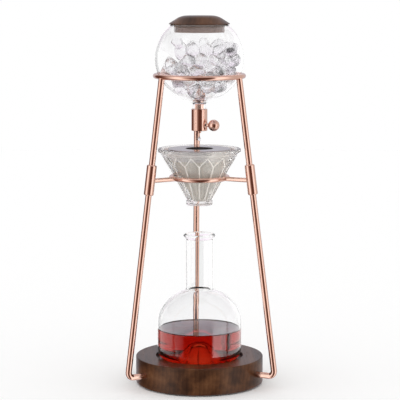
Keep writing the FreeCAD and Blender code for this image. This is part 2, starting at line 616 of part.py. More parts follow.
# ================================================================ flask
def flask_punt(depth):
    """Edges of the raised centre of the flask's foot, from the foot ring up a straight flank to the crown."""
    ring_end = (FLASK_RADIUS - FLASK_CORNER - FLASK_FOOT_WIDTH, FLASK_FOOT)
    centre = (0, FLASK_FOOT + FLASK_PUNT_RISE - FLASK_PUNT_CROWN)
    lean = touching(centre, FLASK_PUNT_CROWN, ring_end)
    high = around(centre, FLASK_PUNT_CROWN + depth, lean)
    foot = FLASK_FOOT + depth
    low = (high[0] + (high[1] - foot) * math.tan(math.radians(lean)), foot)
    return [
        line((FLASK_RADIUS - FLASK_CORNER, foot), low),
        line(low, high),
        bend(centre, FLASK_PUNT_CROWN + depth, lean, 90)]


def flask_side(depth, neck_end):
    """Edges of the flask's wall from its neck down to its middle, a depth inside its outer face."""
    r, neck = FLASK_RADIUS - depth, FLASK_NECK_RADIUS - depth
    foot, corner = FLASK_FOOT + depth, FLASK_CORNER - depth
    waist = FLASK_FOOT + FLASK_SIDE_HEIGHT
    low, high = SHOULDER_LOW_RADIUS - depth, SHOULDER_HIGH_RADIUS - depth
    fillet = FLASK_NECK_FILLET + depth
    turn = math.radians(SHOULDER_TURN)
    low_centre = (r - low, waist)
    high_centre = (r - low - (high - low) * math.cos(turn), waist - (high - low) * math.sin(turn))
    lean = math.acos((neck + fillet - high_centre[0]) / (high + fillet))
    fillet_centre = (neck + fillet, high_centre[1] + (high + fillet) * math.sin(lean))
    neck_turn = math.degrees(lean)
    return [
        line((neck, neck_end), (neck, fillet_centre[1])),
        bend(fillet_centre, fillet, 180, 180 + neck_turn),
        bend(high_centre, high, neck_turn, SHOULDER_TURN),
        bend(low_centre, low, SHOULDER_TURN, 0),
        line((r, waist), (r, foot + corner)),
        bend((r - corner, foot + corner), corner, 0, -90)] + flask_punt(depth)


def make_flask():
    """Blown flask: a round shoulder, a long neck, a flared lip and a raised centre below."""
    neck, lip = FLASK_NECK_RADIUS, FLASK_NECK_RADIUS + FLASK_LIP_FLARE
    inner = neck - FLASK_WALL
    roll = (lip - inner) / 2
    collar, crown = FLASK_TOP - FLASK_LIP_HEIGHT, FLASK_TOP - roll
    middle = FLASK_FOOT + FLASK_PUNT_RISE
    return turned(flask_side(0, collar) + flask_side(FLASK_WALL, crown) + [
        line((neck, collar), (lip, crown)),
        bend((lip - roll, crown), roll, 0, 180),
        line((0, middle), (0, middle + FLASK_WALL))])


# ================================================================ all nodes
os.makedirs("parts", exist_ok=True)

save("base_disc", make_base_disc())
save("base_pad", make_base_pad())
save("leg_screws", Part.makeCompound([swung(make_screw(), azimuth) for azimuth in LEGS.values()]))
for side, azimuth in LEGS.items():
    save("lower_leg_" + side, swung(make_lower_leg(), azimuth))
    save("upper_leg_" + side, swung(make_upper_leg(), azimuth))
    save("sleeve_" + side, swung(make_sleeve(), azimuth))
    save("ring_arm_" + side, swung(make_ring_arm(), azimuth))
save("top_ring", ring(TOP_RING_RADIUS, TOP_RING_ROD_RADIUS, TOP_RING_HEIGHT))
save("middle_ring", ring(MIDDLE_RING_RADIUS, MIDDLE_RING_ROD_RADIUS, MIDDLE_RING_HEIGHT))

save("globe", make_globe())
save("lid", make_lid())
save("lid_seal", make_lid_seal())
save("outlet_gasket", make_outlet_gasket())
save("spigot_o_ring", make_spigot_o_ring())
save("valve_body", make_valve_body())
save("drip_nozzle", make_drip_nozzle())
save("gland_nut", make_gland_nut())
save("valve_needle", make_valve_needle())
save("needle_o_ring", make_needle_o_ring())
save("valve_knob", make_valve_knob())

save("dripper_glass", make_dripper_glass())
save("filter_mesh", make_filter_mesh())
save("filter_rim", make_filter_rim())
save("spreader_dish", make_spreader_dish())
save("flask", make_flask())
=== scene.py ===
import math

import bpy
import numpy as np
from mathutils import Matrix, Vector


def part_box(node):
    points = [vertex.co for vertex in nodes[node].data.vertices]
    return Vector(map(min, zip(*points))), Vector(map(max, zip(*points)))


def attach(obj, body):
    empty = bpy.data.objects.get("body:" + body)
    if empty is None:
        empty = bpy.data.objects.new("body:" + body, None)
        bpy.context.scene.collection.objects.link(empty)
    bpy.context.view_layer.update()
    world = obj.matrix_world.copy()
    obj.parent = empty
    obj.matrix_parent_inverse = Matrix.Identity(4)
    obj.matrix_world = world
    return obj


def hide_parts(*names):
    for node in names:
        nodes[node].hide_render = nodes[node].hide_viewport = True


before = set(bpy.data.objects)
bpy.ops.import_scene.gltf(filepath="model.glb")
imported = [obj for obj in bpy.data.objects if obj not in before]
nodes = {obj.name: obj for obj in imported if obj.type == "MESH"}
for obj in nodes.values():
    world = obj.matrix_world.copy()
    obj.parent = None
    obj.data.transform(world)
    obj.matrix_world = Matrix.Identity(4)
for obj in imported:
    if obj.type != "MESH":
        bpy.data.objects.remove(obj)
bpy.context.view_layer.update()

# ---------------------------------------------------------------- wooden base
# A thick disc of walnut, turned and oiled, with a shallow seat for the flask in its top and a hole for
# each of the three legs in its side. The grain runs from front to back, so that the growth rings show
# in the front.
MM = 0.001
WAVE_PERIOD = 2 * math.pi / 20


class Value:
    """One output of a shader node. Arithmetic on it adds Math nodes."""

    def __init__(self, finish, socket):
        self.finish = finish
        self.socket = socket

    def __add__(self, other):
        return self.finish.maths("ADD", self, other)

    __radd__ = __add__

    def __sub__(self, other):
        return self.finish.maths("SUBTRACT", self, other)

    def __rsub__(self, other):
        return self.finish.maths("SUBTRACT", other, self)

    def __mul__(self, other):
        return self.finish.maths("MULTIPLY", self, other)

    __rmul__ = __mul__

    def __truediv__(self, other):
        return self.finish.maths("DIVIDE", self, other)


class Finish:
    """The nodes of one material, or of the world, as they are put together."""

    def __init__(self, tree):
        self.tree = tree

    def node(self, kind, settings, sockets, output=0):
        """Adds a node: first its settings, then its sockets by name or number, as numbers or links."""
        added = self.tree.nodes.new(kind)
        for name, setting in settings.items():
            if name == "stops":
                self.fill_ramp(added.color_ramp, setting)
            else:
                setattr(added, name, setting)
        for name, value in sockets.items():
            if isinstance(value, Value):
                self.tree.links.new(value.socket, added.inputs[name])
            else:
                added.inputs[name].default_value = value
        return Value(self, added.outputs[output])

    def fill_ramp(self, ramp, stops):
        """Stops are pairs of a place from 0 to 1 and a grey level or a colour."""
        while len(ramp.elements) < len(stops):
            ramp.elements.new(1)
        for element, (place, colour) in zip(ramp.elements, stops):
            element.position = place
            element.color = (colour,) * 3 + (1,) if isinstance(colour, float) else colour + (1,)

    def maths(self, operation, *values):
        """A Math node on numbers and values, for what has no operator."""
        return self.node("ShaderNodeMath", {"operation": operation}, dict(enumerate(values)))

    def ramp(self, value, stops):
        """The colour that a value from 0 to 1 picks from the stops."""
        return self.node("ShaderNodeValToRGB", {"stops": stops}, {0: value})

    def between(self, value, low, high):
        """0 up to low, 1 from high on, and a smooth rise from one to the other."""
        sockets = {"Value": value, "From Min": low, "From Max": high}
        return self.node("ShaderNodeMapRange", {"interpolation_type": "SMOOTHSTEP"}, sockets)

    def mix(self, factor, first, second):
        """The first colour where the factor is 0, and the second where it is 1."""
        return self.node("ShaderNodeMix", {"data_type": "RGBA"}, {0: factor, 6: first, 7: second}, 2)

    def place(self, stretch=(1, 1, 1), move=(0, 0, 0)):
        """The point on the piece, in metres, stretched and moved."""
        point = self.node("ShaderNodeTexCoord", {}, {}, "Object")
        sockets = {"Vector": point, "Location": move, "Scale": stretch}
        return self.node("ShaderNodeMapping", {"vector_type": "POINT"}, sockets)

    def along(self, axis, vector):
        """One coordinate of a vector."""
        return self.node("ShaderNodeSeparateXYZ", {}, {0: vector}, axis)

    def noise(self, size, place, detail=2.0, roughness=0.5):
        """Soft noise about 0.5, with blotches of the given size in metres."""
        sockets = {"Vector": place, "Scale": 1 / size, "Detail": detail, "Roughness": roughness}
        return self.node("ShaderNodeTexNoise", {}, sockets)

    def rings(self, axis, spacing, place, profile="SIN", **sockets):
        """Waves from 0 to 1 round a line along an axis, spacing metres from one to the next."""
        settings = {"wave_type": "RINGS", "rings_direction": axis, "wave_profile": profile}
        sockets = {name.replace("_", " "): value for name, value in sockets.items()}
        sockets.update({"Vector": place, "Scale": WAVE_PERIOD / spacing})
        return self.node("ShaderNodeTexWave", settings, sockets, "Fac")

    def bump(self, height, depth):
        """A normal bent by a height from 0 to 1, where 1 stands depth metres proud."""
        return self.node("ShaderNodeBump", {}, {"Height": height, "Distance": depth})


def new_finish(name, **constants):
    """A material with a Principled shader; underscores in the constants' names stand for spaces."""
    material = bpy.data.materials.new(name)
    material.use_nodes = True
    shader = material.node_tree.nodes["Principled BSDF"]
    for key, value in constants.items():
        shader.inputs[key.replace("_", " ")].default_value = value
    return material, Finish(material.node_tree), shader


def feed(finish, shader, **values):
    """Links values to the Principled shader's sockets."""
    for key, value in values.items():
        finish.tree.links.new(value.socket, shader.inputs[key.replace("_", " ")])


def dress(material, *names):
    """Puts one material on every face of the named solids."""
    for name in names:
        slots = nodes[name].data.materials
        slots.clear()
        slots.append(material)


def walnut(name, pith, turned_marks, tones):
    """Oiled walnut, with growth rings about a line along Y through pith and fine lathe marks about Z.

    The tone is a sum of rings, slow wander and fibre, each times its share, less a shift, and picks from
    four tones, dark to light. Pores are short dark streaks along the grain, where fine noise passes a
    limit. The wood is rougher there, and the oil has less gloss.
    """
    ring_width, ring_share = 5.2 * MM, 0.10
    wander_size, wander_share = 17 * MM, 1.05
    fibre_width, fibre_share = 0.7 * MM, 0.17
    shift = 0.14
    tone_places = (0.16, 0.42, 0.64, 0.90)
    pore_limits = (0.62, 0.74)
    pore_colour = (0.010, 0.0045, 0.0025, 1)
    lathe_pitch = 0.9 * MM
    relief = 0.05 * MM

    material, f, shader = new_finish(name, Specular_IOR_Level=0.10, Coat_Roughness=0.22, Coat_IOR=1.35)
    grain = f.place(stretch=(1, 0.1, 1), move=(-pith[0], 0, -pith[1]))
    wander = f.noise(wander_size, grain, 3.0)
    rings = f.rings("Y", ring_width, grain, "SAW", Distortion=5.5, Detail=3.0, Detail_Scale=0.4,
                    Detail_Roughness=0.6)
    fibre = f.noise(fibre_width, f.place(stretch=(1, 0.03, 1)), 3.0, 0.6)
    streaks = f.noise(fibre_width, f.place(stretch=(1, 0.06, 1), move=(0, 0.3, 0)), 1.0)
    pores = f.between(streaks, *pore_limits)
    tone = rings * ring_share + wander * wander_share + fibre * fibre_share - shift
    colour = f.mix(pores * 0.35, f.ramp(tone, list(zip(tone_places, tones))), pore_colour)
    lathe = f.rings("Z", lathe_pitch, f.place(), Distortion=0.6)
    height = fibre * 0.35 - pores * 0.8 + lathe * turned_marks
    feed(f, shader, Base_Color=colour, Roughness=0.30 + fibre * 0.14 + pores * 0.2,
         Coat_Weight=0.54 - pores * 0.4, Normal=f.bump(height, relief))
    return material


base_wood = walnut("oiled_walnut", pith=(-0.160, 0.030), turned_marks=0.05, tones=[
    (0.016, 0.0055, 0.0022), (0.052, 0.019, 0.0075), (0.104, 0.040, 0.015), (0.170, 0.072, 0.029)])
dress(base_wood, "base_disc")

# ---------------------------------------------------------------- pad under the base
# One round sheet of black rubber that keeps the wood off the table. It is glued into a recess in the
# underside and stands a little proud of it.
RUBBER_BLACK = (0.016, 0.016, 0.017, 1)
RUBBER_DUSTY = (0.03, 0.029, 0.028, 1)
rubber, f, shader = new_finish("pad_rubber", Specular_IOR_Level=0.35)
grit = f.noise(0.7 * MM, f.place())
feed(f, shader, Base_Color=f.mix(f.noise(9 * MM, f.place()), RUBBER_BLACK, RUBBER_DUSTY),
     Roughness=0.70 + grit * 0.25, Normal=f.bump(grit, 0.08 * MM))
dress(rubber, "base_pad")

# ---------------------------------------------------------------- leg screws
# Three socket screws of bright stainless steel, turned from bar. They come up through the underside of
# the base and hold the ends of the legs.
STEEL_DARK = (0.50, 0.50, 0.51, 1)
STEEL_LIGHT = (0.62, 0.61, 0.60, 1)
bright_steel, f, shader = new_finish("turned_steel", Metallic=1.0)
marks = f.noise(0.25 * MM, f.place(stretch=(1, 1, 3)))
feed(f, shader, Base_Color=f.mix(f.noise(4 * MM, f.place()), STEEL_DARK, STEEL_LIGHT),
     Roughness=0.20 + marks * 0.16, Normal=f.bump(marks, 0.01 * MM))
dress(bright_steel, "leg_screws")

# ---------------------------------------------------------------- copper stand
# Three bent rods, coupled by sleeves at half height, carry a ring for the globe and, on three arms, a
# ring for the dripper. All of it is brazed, polished and plated with copper, with a faint bloom.
COPPER_PALE = (0.95, 0.66, 0.555, 1)
COPPER_DEEP = (0.91, 0.60, 0.49, 1)
COPPER_TOUCHED = (0.80, 0.46, 0.35, 1)


def copper(name, lengthwise):
    """Polished copper plate: cloudy bloom, touched spots, and hair lines.

    The hair lines are noise stretched along Z by the lengthwise factor: above 1 they run along the rods,
    and below 1 they go round what is turned.
    """
    material, f, shader = new_finish(name, Metallic=1.0, Specular_IOR_Level=0.5)
    bloom = f.noise(26 * MM, f.place(), 3.0, 0.55)
    touched = f.between(f.noise(7 * MM, f.place(move=(0.4, 0, 0)), 3.0, 0.6), 0.45, 0.75)
    hair = f.noise(0.16 * MM, f.place(stretch=(1, 1, 1 / lengthwise)))
    clean = f.mix(bloom, COPPER_PALE, COPPER_DEEP)
    feed(f, shader, Base_Color=f.mix(touched * 0.22, clean, COPPER_TOUCHED),
         Roughness=0.10 + bloom * 0.05 + touched * 0.04, Normal=f.bump(hair, 0.004 * MM))
    return material


drawn_copper = copper("drawn_copper", lengthwise=40)
turned_copper = copper("turned_copper", lengthwise=0.1)
for side in ("rear", "left", "right"):
    dress(drawn_copper, "lower_leg_" + side, "upper_leg_" + side, "ring_arm_" + side)
    dress(turned_copper, "sleeve_" + side)
dress(drawn_copper, "top_ring", "middle_ring")

# ---------------------------------------------------------------- globe
# A blown globe of clear borosilicate glass, with a ground mouth above and a drawn outlet tube below. It
# rests in the top ring by its weight. A grey silicone gasket seals its tube in the valve.
GLASS_CLEAR = (0.999, 1.0, 1.0, 1)
GLASS_COOL = (0.994, 0.996, 0.997, 1)
SILICONE_DARK = (0.58, 0.50, 0.47, 1)
SILICONE_PALE = (0.68, 0.59, 0.56, 1)


def clear_glass(name, ripple, ripple_size):
    """Blown glass: colourless, with slow ripples in its surface."""
    material, f, shader = new_finish(name, Transmission_Weight=1.0, IOR=1.47)
    slow = f.noise(ripple_size, f.place(), 1.0)
    feed(f, shader, Base_Color=f.mix(slow, GLASS_CLEAR, GLASS_COOL), Roughness=slow * 0.003,
         Normal=f.bump(slow, ripple))
    return material


blown_glass = clear_glass("blown_glass", ripple=0.25 * MM, ripple_size=34 * MM)
dress(blown_glass, "globe")

silicone, f, shader = new_finish("grey_silicone", Specular_IOR_Level=0.4, Subsurface_Weight=0.1,
                                 Subsurface_Radius=(0.002, 0.002, 0.002))
cloud = f.noise(3 * MM, f.place())
feed(f, shader, Base_Color=f.mix(cloud, SILICONE_DARK, SILICONE_PALE), Roughness=0.42 + cloud * 0.15,
     Normal=f.bump(f.noise(0.5 * MM, f.place()), 0.02 * MM))
dress(silicone, "outlet_gasket")

# ---------------------------------------------------------------- drip valve
# The body holds the globe's tube, and the ball knob turns a needle of bright steel in its gland. The rest
# is turned and plated with copper, like the stand. Two O-rings of black rubber seal spigot and needle.
O_RING_BLACK = (0.012, 0.012, 0.012, 1)
O_RING_GREY = (0.022, 0.021, 0.021, 1)
dress(turned_copper, "valve_body", "drip_nozzle", "gland_nut", "valve_knob")
dress(bright_steel, "valve_needle")

black_rubber, f, shader = new_finish("o_ring_rubber", Specular_IOR_Level=0.4)
bloom = f.noise(1.2 * MM, f.place())
feed(f, shader, Base_Color=f.mix(bloom, O_RING_BLACK, O_RING_GREY), Roughness=0.35 + bloom * 0.2)
dress(black_rubber, "spigot_o_ring", "needle_o_ring")

# ---------------------------------------------------------------- ice in the globe
# Melting blocks of clear ice, a heap that leans on the glass. Only the layer next to the glass is made,
# and the globe's left side is clear above the ring. The blocks lie loose in the globe.
globe_low, globe_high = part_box("globe")
GLOBE_RADIUS = (globe_high.x - globe_low.x) / 2
GLOBE_WALL = 2 * MM
MOUTH_RADIUS = 36.4 * MM
MOUTH_LEVEL = globe_high.z
globe_middle = MOUTH_LEVEL - math.sqrt(GLOBE_RADIUS ** 2 - MOUTH_RADIUS ** 2)
ICE_SPACING = 15 * MM
ICE_LAYERS = 5
ICE_LAYER_RISE = 0.8
ICE_SCATTER = 0.19
ICE_NEIGHBOURS = 3
ICE_GAP = 0.5 * MM
ICE_OFF_GLASS = 1.2 * MM
ICE_DEPTH = 17 * MM
ICE_FROM_GLASS = 0.28
ICE_FROM_TOP = 0.3
ICE_SHARPNESS = 16
ICE_CLEAR = (0.992, 0.988, 0.996, 1)
ICE_FROSTED = (0.96, 0.95, 0.975, 1)

# The heap's top, and its left side above a level, are measured from the globe's middle.
HEAP_TOP = 26 * MM
HEAP_SIDE = -30 * MM
HEAP_LEVEL = -5 * MM


def new_piece(name, points, faces, body, material):
    """A smooth mesh from an array of points and arrays of faces, riding on a body."""
    mesh = bpy.data.meshes.new(name)
    mesh.from_pydata(points.tolist(), [], [face for part in faces for face in part.tolist()])
    mesh.polygons.foreach_set("use_smooth", np.ones(len(mesh.polygons), bool))
    mesh.update()
    mesh.materials.append(material)
    piece = bpy.data.objects.new(name, mesh)
    bpy.context.scene.collection.objects.link(piece)
    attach(piece, body)
    return piece


def turned(radius, height, around):
    """Points round Z, ring by ring: radius times the cosine and sine of even steps of a turn, and height.

    Radius and height have a row for each ring, with one value for the ring or one for each of its points.
    """
    turn = np.arange(around) * 2 * math.pi / around
    points = np.stack([radius * np.cos(turn), radius * np.sin(turn), height + np.zeros(around)], -1)
    return points.reshape(-1, 3)


def bands(rings, after, around):
    """Quads from each ring to the one after it. Each ring is given by the number of its first point."""
    first = np.arange(around)
    turn = (first + 1) % around
    low, high = rings[:, None], after[:, None]
    return np.stack([low + first, high + first, high + turn, low + turn], -1).reshape(-1, 4)


def skin(rings, around, upward=False):
    """Faces of a closed skin: quads from each ring to the next, and a fan at both ends.

    The points come ring by ring, then the tip before the first ring, then the tip after the last. The
    faces look outwards where the rings follow each other down, and upward turns them round.
    """
    ring = np.arange(rings) * around
    first = np.arange(around)
    turn = (first + 1) % around
    tip = np.full(around, rings * around)
    quads = bands(ring[:-1], ring[1:], around)
    fans = np.concatenate([np.stack([tip, first, turn], -1),
                           np.stack([tip + 1, ring[-1] + turn, ring[-1] + first], -1)])
    return [quads[:, [0, 3, 2, 1]], fans[:, [0, 2, 1]]] if upward else [quads, fans]


def ball(around, down):
    """Directions in even steps of angle from pole to pole, and the faces between them."""
    tilt = np.arange(1, down)[:, None] * math.pi / down
    ways = turned(np.sin(tilt), np.cos(tilt), around)
    return np.concatenate([ways, [[0, 0, 1], [0, 0, -1]]]), skin(down - 1, around)


def ice_blocks(rng):
    """Every block is the room round a seed up to halfway to its neighbours, with softened edges.

    Seeds stand on a scattered lattice, measured from the globe's middle, and those next to the glass and
    in the heap are kept. Along a direction d the halfway plane to neighbour n lies at
    1 / (d . n / (n . n / 2)). The block's radius is the least of these distances, of the way to the glass
    and of the way to the heap's top. It is taken as a power mean, which rounds the edges: the sum of
    1 / distance to the power of the sharpness, to the power of -1 / sharpness.
    """
    steps = np.arange(-ICE_LAYERS, ICE_LAYERS + 1)
    x, y, z = np.meshgrid(steps, steps, steps, indexing="ij")
    shift = 0.5 * (z % 2)
    lattice = np.stack([x + shift, y + shift, z * ICE_LAYER_RISE], -1).reshape(-1, 3) * ICE_SPACING
    seeds = lattice + rng.normal(0, ICE_SCATTER, lattice.shape) * ICE_SPACING
    inner = GLOBE_RADIUS - GLOBE_WALL - ICE_OFF_GLASS
    far = np.linalg.norm(seeds, axis=1)
    held = (far > inner - ICE_DEPTH) & (far < inner - ICE_FROM_GLASS * ICE_SPACING)
    held &= seeds[:, 2] < HEAP_TOP - ICE_FROM_TOP * ICE_SPACING
    held &= (seeds[:, 0] > HEAP_SIDE) | (seeds[:, 2] < HEAP_LEVEL)
    ways, faces = ball(40, 22)
    blocks = []
    for seed in seeds[held]:
        gap = seeds - seed
        far_off = np.linalg.norm(gap, axis=1)
        near = (far_off < ICE_NEIGHBOURS * ICE_SPACING) & (far_off > 0)
        half = far_off[near] / 2
        pull = np.clip(ways @ (gap[near] / (2 * half)[:, None]).T, 0, None) / (half - ICE_GAP)
        along = ways @ seed
        wall = np.sqrt(along ** 2 + inner ** 2 - seed @ seed) - along
        lift = np.clip(ways[:, 2], 0, None) / (HEAP_TOP - seed[2])
        pulls = np.concatenate([pull, 1 / wall[:, None], lift[:, None]], 1)
        reach = (pulls ** ICE_SHARPNESS).sum(1) ** (-1 / ICE_SHARPNESS)
        blocks.append(seed + ways * reach[:, None] + (0, 0, globe_middle))
    start = np.arange(len(blocks))[:, None, None] * len(ways)
    return np.concatenate(blocks), [(part + start).reshape(-1, part.shape[1]) for part in faces]


clear_ice, f, shader = new_finish("clear_ice", Transmission_Weight=1.0, IOR=1.09)
melt = f.noise(4.5 * MM, f.place(), 4.0, 0.6)
frost = f.between(f.noise(13 * MM, f.place(move=(0, 0.2, 0))), 0.60, 0.80)
feed(f, shader, Base_Color=f.mix(frost, ICE_CLEAR, ICE_FROSTED), Roughness=frost * 0.10,
     Normal=f.bump(melt, 2.0 * MM))
ice_points, ice_faces = ice_blocks(np.random.default_rng(11))
new_piece("ice_blocks", ice_points, ice_faces, "globe", clear_ice)

# ---------------------------------------------------------------- lid
# A turned walnut lid, oiled above and left bare on the plug that hangs in the globe's mouth. A ring of
# grey silicone round the plug seals it and holds it in the mouth.
OIL_EDGE = 0.4 * MM
BARE_WOOD = (0.36, 0.245, 0.20, 1)
lid_wood = walnut("lid_walnut", pith=(-0.090, 0.520), turned_marks=0.12, tones=[
    (0.024, 0.009, 0.004), (0.060, 0.024, 0.011), (0.105, 0.044, 0.020), (0.155, 0.070, 0.033)])
f = Finish(lid_wood.node_tree)
oiled = f.between(f.along("Z", f.place()), MOUTH_LEVEL - OIL_EDGE, MOUTH_LEVEL)
wood_colour = lid_wood.node_tree.nodes["Principled BSDF"].inputs["Base Color"]
grain = Value(f, wood_colour.links[0].from_socket)
f.tree.links.new(f.mix(oiled, BARE_WOOD, grain).socket, wood_colour)
dress(lid_wood, "lid")
dress(silicone, "lid_seal")

# ---------------------------------------------------------------- dripper
# A thick cone of pressed glass on a round foot, with upright ribs that fork into a zigzag below its
# plain rim. Its slope rests on the middle ring.

# The cone and its foot have the sizes of the solid.
cone_low, cone_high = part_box("dripper_glass")
CONE_RADIUS = cone_high.x
CONE_TILT = math.radians(29.5)
CONE_SLOPE = math.tan(CONE_TILT)
CONE_WALL = 5 * MM
CONE_EDGE = 1 * MM
CONE_FLOOR = 1.5 * MM
RIM_BAND = 4 * MM
CREASE = 0.3 * MM
FOOT_RADIUS = 17 * MM
FOOT_HEIGHT = 6 * MM
FOOT_WALL = 3.5 * MM
FOOT_RECESS = 1.9 * MM
HOLE_RADIUS = 8.4 * MM
HOLE_EASE = 0.4 * MM
cone_floor_top = cone_low.z + FOOT_RECESS + CONE_FLOOR

# The ribs fade in above the foot, fork at one height over it and end in the zigzag at another.
RIB_COUNT = 14
RIB_STEPS = 32
RIB_BEARING = math.radians(-92.8)
RIB_DEPTH = 1.1 * MM
RIB_WIDTH = 0.85 * MM
RIB_FADE = 6 * MM
FLUTE_SHARE = 0.3
FORK_HEIGHT = 52.5 * MM
ZIGZAG_TOP = 64.0 * MM
ZIGZAG_FADE = 1.5 * MM

# Painted highlight: the glass is painted milky white on the ribs' ridges, where they catch the light,
# and, as a veil, from a little below the zigzag's top upwards. A faint painted reflection of a soft box,
# a band of milky white whose edges wander a little, also whitens the cone's right side.
VEIL = 0.4
VEIL_BELOW = 3 * MM
VEIL_RISE = 8 * MM
REFLECTION_WANDER = 20 * MM
REFLECTION_RISE = (9 * MM, 28 * MM)
REFLECTION_FALL = (38 * MM, 52 * MM)
CREST_HIGHLIGHT_MILK = 0.74
PAINTED_REFLECTION_MILK = 0.24
PLAIN_MILK = 0.01
MILK = (1.0, 0.965, 0.90, 1)
PRESSED_CLEAR = (0.996, 0.990, 0.990, 1)
PRESSED_GREY = (0.985, 0.977, 0.977, 1)


def bore(z):
    """Radius of the inner cone at a height: the hole's radius, plus the slope times the height over it."""
    return HOLE_RADIUS + CONE_SLOPE * (z - cone_floor_top)


def arc(middle, radius, start, end, count):
    """Points round a middle in the plane of radius and height, from one angle to another, in degrees."""
    angle = np.radians(np.linspace(start, end, count))
    return np.stack([middle[0] + radius * np.cos(angle), middle[1] + radius * np.sin(angle)], -1)


def run(start, end, count):
    """Points in even steps on a straight run, both ends among them."""
    return np.array(start) + (np.array(end) - np.array(start)) * np.linspace(0, 1, count)[:, None]


def dripper_surface():
    """A closed profile turned about Z. On the outer cone the radius sinks between the ribs.

    A rib's height falls off as exp(-(d / width) ** 2) with the distance d to the nearest rib line. The
    cone sinks by the depth times what that leaves to 1, and a share of it only grows in with the square
    of d towards mid flute. Below the fork the lines stand upright, and above it each parts into two that
    meet their neighbours' at the zigzag's top. Also gives, for every point, how much painted highlight it
    takes: milky white on a rib's ridge, or in the veil above the zigzag.
    """
    low, high = cone_low.z, cone_high.z
    foot_top = low + FOOT_HEIGHT
    band = high - RIM_BAND
    cavity = FOOT_RADIUS - FOOT_WALL
    recess = low + FOOT_RECESS

    def outer(z):
        return bore(z) + CONE_WALL / math.cos(CONE_TILT)

    loop = np.concatenate([
        arc((CONE_RADIUS - CONE_WALL + CONE_EDGE, high - CONE_EDGE), CONE_EDGE, 180, 90, 7),
        arc((CONE_RADIUS - CONE_EDGE, high - CONE_EDGE), CONE_EDGE, 90, 0, 7),
        run((CONE_RADIUS, high - 1.6 * CONE_EDGE), (CONE_RADIUS, band), 4),
        run((outer(band - CREASE), band - CREASE), (outer(foot_top + CREASE), foot_top + CREASE), 96),
        arc((FOOT_RADIUS - CONE_EDGE, foot_top - CONE_EDGE), CONE_EDGE, 90, 0, 6),
        arc((FOOT_RADIUS - CONE_EDGE, low + CONE_EDGE), CONE_EDGE, 0, -90, 6),
        arc((cavity + CONE_EDGE, low + CONE_EDGE), CONE_EDGE, -90, -180, 6),
        run((cavity, recess), (HOLE_RADIUS + HOLE_EASE, recess), 3),
        run((HOLE_RADIUS, recess + HOLE_EASE), (HOLE_RADIUS, cone_floor_top), 3),
        run((HOLE_RADIUS + HOLE_EASE, cone_floor_top + 2 * HOLE_EASE),
            (CONE_RADIUS - CONE_WALL, high - 2 * CONE_EDGE), 30)])
    radius, height = loop[:, :1], loop[:, 1:]
    around = RIB_COUNT * RIB_STEPS
    pitch = 2 * math.pi / RIB_COUNT
    turn = np.arange(around) * 2 * math.pi / around
    from_rib = (turn - RIB_BEARING + pitch / 2) % pitch - pitch / 2
    rise = height - low
    fork = np.clip((rise - FORK_HEIGHT) / (ZIGZAG_TOP - FORK_HEIGHT), 0, 1) * pitch / 2
    nearest = np.minimum(np.abs(from_rib - fork), np.abs(from_rib + fork)) * radius
    ridge = np.exp(-(nearest / RIB_WIDTH) ** 2)
    flute = np.clip(nearest / (radius * pitch / 2), 0, 1) ** 2
    on_cone = (np.abs(radius - outer(height)) < 1e-6) & (rise > FOOT_HEIGHT)
    ends = np.clip((rise - FOOT_HEIGHT) / RIB_FADE, 0, 1)
    ends = ends * np.clip((ZIGZAG_TOP + ZIGZAG_FADE - rise) / ZIGZAG_FADE, 0, 1)
    sink = RIB_DEPTH * (1 - ridge) * (1 - FLUTE_SHARE + FLUTE_SHARE * flute) * ends * on_cone
    veil = VEIL * np.clip((rise - ZIGZAG_TOP + VEIL_BELOW) / VEIL_RISE, 0, 1)
    # Painted highlight: how much milky white each point takes, on a rib's ridge or in the veil.
    highlight_crests = np.maximum(ridge * ends, veil) * on_cone
    ring = np.arange(len(loop)) * around
    faces = [bands(ring, np.roll(ring, -1), around)]
    return turned(radius - sink, height, around), faces, highlight_crests.ravel()


pressed_glass, f, shader = new_finish("pressed_glass", Transmission_Weight=0.93, IOR=1.50)
mould = f.noise(5 * MM, f.place())
feed(f, shader, Base_Color=f.mix(mould, PRESSED_CLEAR, PRESSED_GREY), Roughness=mould * 0.02,
     Normal=f.bump(mould, 0.35 * MM))
# Painted highlight on the ribs' ridges and in the veil, read from the dripper's own attribute.
crest = f.node("ShaderNodeAttribute", {"attribute_name": "crest"}, {}, "Fac")
# Painted reflection: a band of milky white on the cone's right side, with wandering edges.
drift = f.along("X", f.place()) + f.noise(9 * MM, f.place(), 3.0) * REFLECTION_WANDER
painted_reflection = f.between(drift, *REFLECTION_RISE) - f.between(drift, *REFLECTION_FALL)
milky = f.node("ShaderNodeBsdfPrincipled", {}, {"Base Color": MILK, "Roughness": 0.3})
highlights_and_milk = crest * CREST_HIGHLIGHT_MILK + painted_reflection * PAINTED_REFLECTION_MILK + PLAIN_MILK
blend = f.node("ShaderNodeMixShader", {}, {0: highlights_and_milk, 1: Value(f, shader.outputs[0]), 2: milky})
f.tree.links.new(blend.socket, f.tree.nodes["Material Output"].inputs["Surface"])

dripper_points, dripper_faces, highlight_crests = dripper_surface()
dripper = new_piece("ribbed_dripper", dripper_points, dripper_faces, "dripper",
                    pressed_glass)
dripper.data.attributes.new("crest", "FLOAT", "POINT").data.foreach_set("value", highlight_crests)
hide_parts("dripper_glass")

# ---------------------------------------------------------------- filter
# A cone of fine woven steel wire, seamed to a plain brushed rim. It sits loose in the dripper's cone and
# lifts out.
RIM_DARK = (0.90, 0.86, 0.86, 1)
RIM_LIGHT = (0.97, 0.94, 0.93, 1)
brushed_steel, f, shader = new_finish("brushed_steel", Metallic=0.4)
strokes = f.noise(0.5 * MM, f.place(stretch=(1, 1, 0.1)))
feed(f, shader, Base_Color=f.mix(strokes, RIM_DARK, RIM_LIGHT), Roughness=0.42 + strokes * 0.12,
     Normal=f.bump(strokes, 0.02 * MM))
dress(brushed_steel, "filter_rim")

